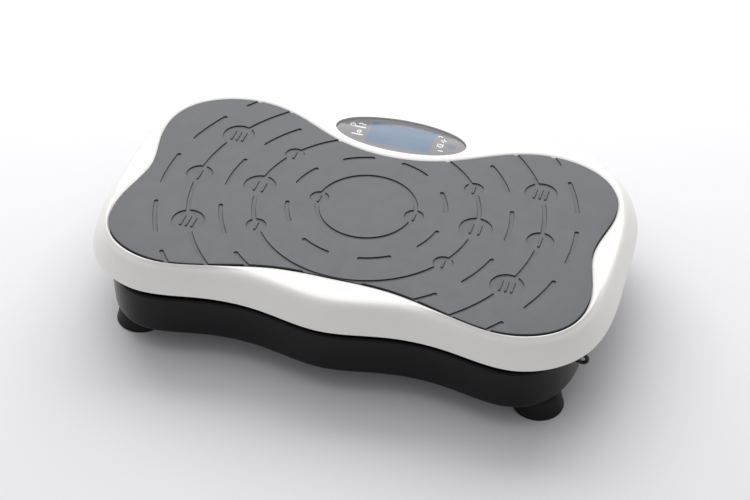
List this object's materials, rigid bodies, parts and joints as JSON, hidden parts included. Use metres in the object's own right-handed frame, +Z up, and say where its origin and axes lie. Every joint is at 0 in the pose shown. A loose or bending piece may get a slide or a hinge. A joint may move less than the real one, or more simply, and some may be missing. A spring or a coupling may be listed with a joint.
{
  "type": "vibration plate",
  "caption": "Low oscillating plate: white two-lobed shell with a grooved rubber mat and oval display, rocked by a crank drive inside a black base on suction feet.",
  "frame": {"origin": "on the floor, under the middle of the white shell's footprint", "axes": "+X to the user's right along the plate's length, +Y towards the display at the back, +Z up"},
  "size_m": [0.6722, 0.4186, 0.145],
  "materials": {
    "white_abs": "moulded, glossy white",
    "mat_rubber": "moulded, matt grey",
    "console_gloss": "printed glossy lens",
    "lcd_glass": "backlit display under glass",
    "circuit_board": "solder mask",
    "black_plastic": "moulded, fine texture",
    "base_abs": "moulded, satin black",
    "foot_rubber": "moulded black rubber",
    "plated_steel": "zinc plated",
    "turned_steel": "turned and ground",
    "rolled_steel": "grey powder coat",
    "sintered_bronze": "oil filled bronze",
    "cast_housing": "painted casting",
    "motor_paint": "black enamel",
    "die_cast_aluminium": "die cast",
    "copper_winding": "enamelled copper",
    "brass": "plain",
    "transformer_tape": "polyester tape",
    "rocker_red": "moulded red",
    "lead_insulation": "flexible PVC"
  },
  "bodies": {
    "base": {"base_shell": "base_abs", "base_plate": "rolled_steel", "foot_front_left": "foot_rubber", "foot_front_right": "foot_rubber", "foot_rear_left": "foot_rubber", "foot_rear_right": "foot_rubber", "foot_studs": "plated_steel", "foot_nuts": "plated_steel", "base_screws": "plated_steel", "base_nuts": "plated_steel", "fulcrum_shaft": "turned_steel", "pivot_block_front": "rolled_steel", "pivot_block_rear": "rolled_steel", "pillow_block_left": "cast_housing", "pillow_block_right": "cast_housing", "crank_bearings": "turned_steel", "drive_bolts": "plated_steel", "motor_can": "motor_paint", "motor_magnets": "motor_paint", "motor_ends": "die_cast_aluminium", "motor_bracket": "rolled_steel", "motor_strap": "rolled_steel", "drive_belt": "foot_rubber", "control_board": "circuit_board", "board_standoffs": "brass", "transformer": "transformer_tape", "heat_sink": "die_cast_aluminium", "board_parts": "black_plastic", "rear_panel": "black_plastic", "power_inlet": "black_plastic", "switch_body": "black_plastic", "mains_leads": "lead_insulation", "motor_leads": "lead_insulation", "display_lead": "lead_insulation", "eyelets": "black_plastic"},
    "deck": {"top_shell": "white_abs", "deck_mat": "mat_rubber", "console_lens": "console_gloss", "lcd_module": "lcd_glass", "display_board": "circuit_board", "ir_receiver": "black_plastic", "platform_plate": "rolled_steel", "rib_front": "rolled_steel", "rib_rear": "rolled_steel", "fulcrum_sleeve": "rolled_steel", "fulcrum_bushes": "sintered_bronze", "rod_brackets": "rolled_steel", "rod_pins": "plated_steel", "deck_screws": "plated_steel"},
    "crank": {"crankshaft": "turned_steel", "crank_pulley": "cast_housing"},
    "rotor": {"motor_rotor": "copper_winding", "motor_pulley": "cast_housing"},
    "rod_left_body": {"rod_left": "rolled_steel", "rod_bearing_left": "turned_steel", "rod_bush_left": "foot_rubber"},
    "rod_right_body": {"rod_right": "rolled_steel", "rod_bearing_right": "turned_steel", "rod_bush_right": "foot_rubber"},
    "rocker": {"power_rocker": "rocker_red"}
  },
  "joints": [
    {"name": "platform_rock", "type": "hinge", "parent": "base", "child": "deck", "pos_m": [0, -0.012, 0.112], "axis": [0, 1, 0], "range_deg": [-1.15, 1.15], "deforming": ["display_lead"]},
    {"name": "crank_spin", "type": "hinge", "parent": "base", "child": "crank", "pos_m": [0, -0.012, 0.073], "axis": [1, 0, 0], "continuous": true},
    {"name": "motor_spin", "type": "hinge", "parent": "base", "child": "rotor", "pos_m": [0.093, 0.073, 0.0755], "axis": [1, 0, 0], "continuous": true},
    {"name": "rod_left_pivot", "type": "hinge", "parent": "crank", "child": "rod_left_body", "pos_m": [-0.1, -0.014, 0.073], "axis": [1, 0, 0], "continuous": true},
    {"name": "rod_right_pivot", "type": "hinge", "parent": "crank", "child": "rod_right_body", "pos_m": [0.1, -0.01, 0.073], "axis": [1, 0, 0], "continuous": true},
    {"name": "power_switch", "type": "hinge", "parent": "base", "child": "rocker", "pos_m": [0.019, 0.199, 0.069], "axis": [1, 0, 0], "range_deg": [0, 20]}
  ],
  "couplings": [
    {"joint": "motor_spin", "follows": "crank_spin", "ratio": 3},
    {"joint": "rod_left_pivot", "follows": "crank_spin", "ratio": -1},
    {"joint": "rod_right_pivot", "follows": "crank_spin", "ratio": -1}
  ]
}
